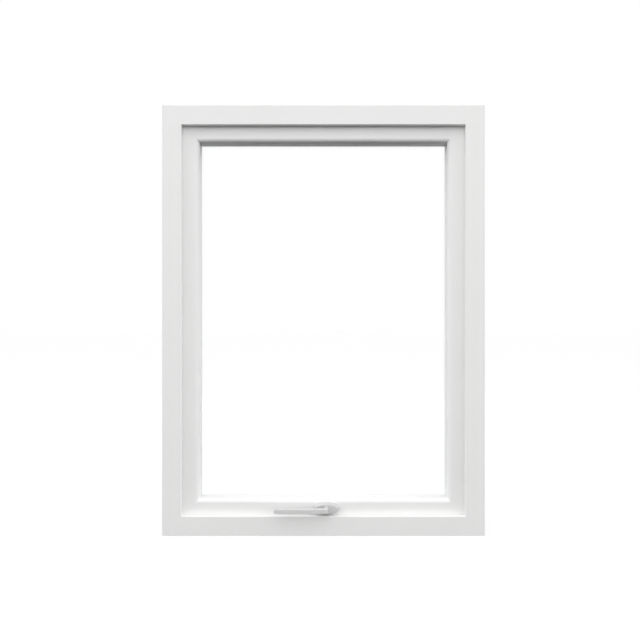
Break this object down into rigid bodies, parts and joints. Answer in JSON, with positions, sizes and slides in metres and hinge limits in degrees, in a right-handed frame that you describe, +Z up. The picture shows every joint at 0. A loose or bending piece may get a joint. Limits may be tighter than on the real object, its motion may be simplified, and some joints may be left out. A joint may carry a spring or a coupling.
{
  "type": "top hung awning window",
  "caption": "Painted timber top hung awning window: a glazed sash hinged at the head that opens outward on side stays, with a lever handle on its bottom rail.",
  "frame": {"origin": "centre of the sill's underside", "axes": "+X to the right as seen from inside, +Y outward through the window, +Z up"},
  "size_m": [0.9, 0.1065, 1.2],
  "materials": {
    "painted_timber": "satin white paint",
    "clear_glass": "clear float",
    "seal_rubber": "matte off-white",
    "spacer_metal": "white lacquer",
    "block_plastic": "moulded",
    "handle_metal": "satin",
    "plated_steel": "zinc plated"
  },
  "bodies": {
    "frame": {"frame_head": "painted_timber", "frame_sill": "painted_timber", "frame_left_jamb": "painted_timber", "frame_right_jamb": "painted_timber", "frame_seal": "seal_rubber", "left_hinge_frame_leaf": "plated_steel", "left_hinge_pin": "plated_steel", "left_stay_bracket": "plated_steel", "right_hinge_frame_leaf": "plated_steel", "right_hinge_pin": "plated_steel", "right_stay_bracket": "plated_steel"},
    "sash": {"sash_top_rail": "painted_timber", "sash_bottom_rail": "painted_timber", "sash_left_stile": "painted_timber", "sash_right_stile": "painted_timber", "inner_pane": "clear_glass", "outer_pane": "clear_glass", "glazing_spacer": "spacer_metal", "inner_glazing_seal": "seal_rubber", "outer_glazing_seal": "seal_rubber", "setting_blocks": "block_plastic", "glazing_bead_top": "painted_timber", "glazing_bead_bottom": "painted_timber", "glazing_bead_left": "painted_timber", "glazing_bead_right": "painted_timber", "lock_faceplate": "plated_steel", "handle_rosette": "handle_metal", "left_hinge_sash_leaf": "plated_steel", "left_stay_track": "plated_steel", "right_hinge_sash_leaf": "plated_steel", "right_stay_track": "plated_steel"},
    "handle": {"handle_lever": "handle_metal", "handle_spindle": "plated_steel"},
    "left_stay": {"left_stay_arm": "plated_steel"},
    "right_stay": {"right_stay_arm": "plated_steel"}
  },
  "joints": [
    {"name": "sash_swing", "type": "hinge", "parent": "frame", "child": "sash", "pos_m": [0, 0.0405, 1.1635], "axis": [1, 0, 0], "range_deg": [0, 45]},
    {"name": "handle_turn", "type": "hinge", "parent": "sash", "child": "handle", "pos_m": [0.008, -0.0545, 0.076], "axis": [0, 1, 0], "range_deg": [0, 90]},
    {"name": "left_stay_swing", "type": "hinge", "parent": "frame", "child": "left_stay", "pos_m": [-0.4135, 0.02253, 0.86404], "axis": [1, 0, 0], "range_deg": [0, 90]},
    {"name": "right_stay_swing", "type": "hinge", "parent": "frame", "child": "right_stay", "pos_m": [0.4135, 0.02253, 0.86404], "axis": [1, 0, 0], "range_deg": [0, 90]}
  ],
  "couplings": [
    {"joint": "left_stay_swing", "follows": "sash_swing", "ratio": 2},
    {"joint": "right_stay_swing", "follows": "sash_swing", "ratio": 2}
  ]
}
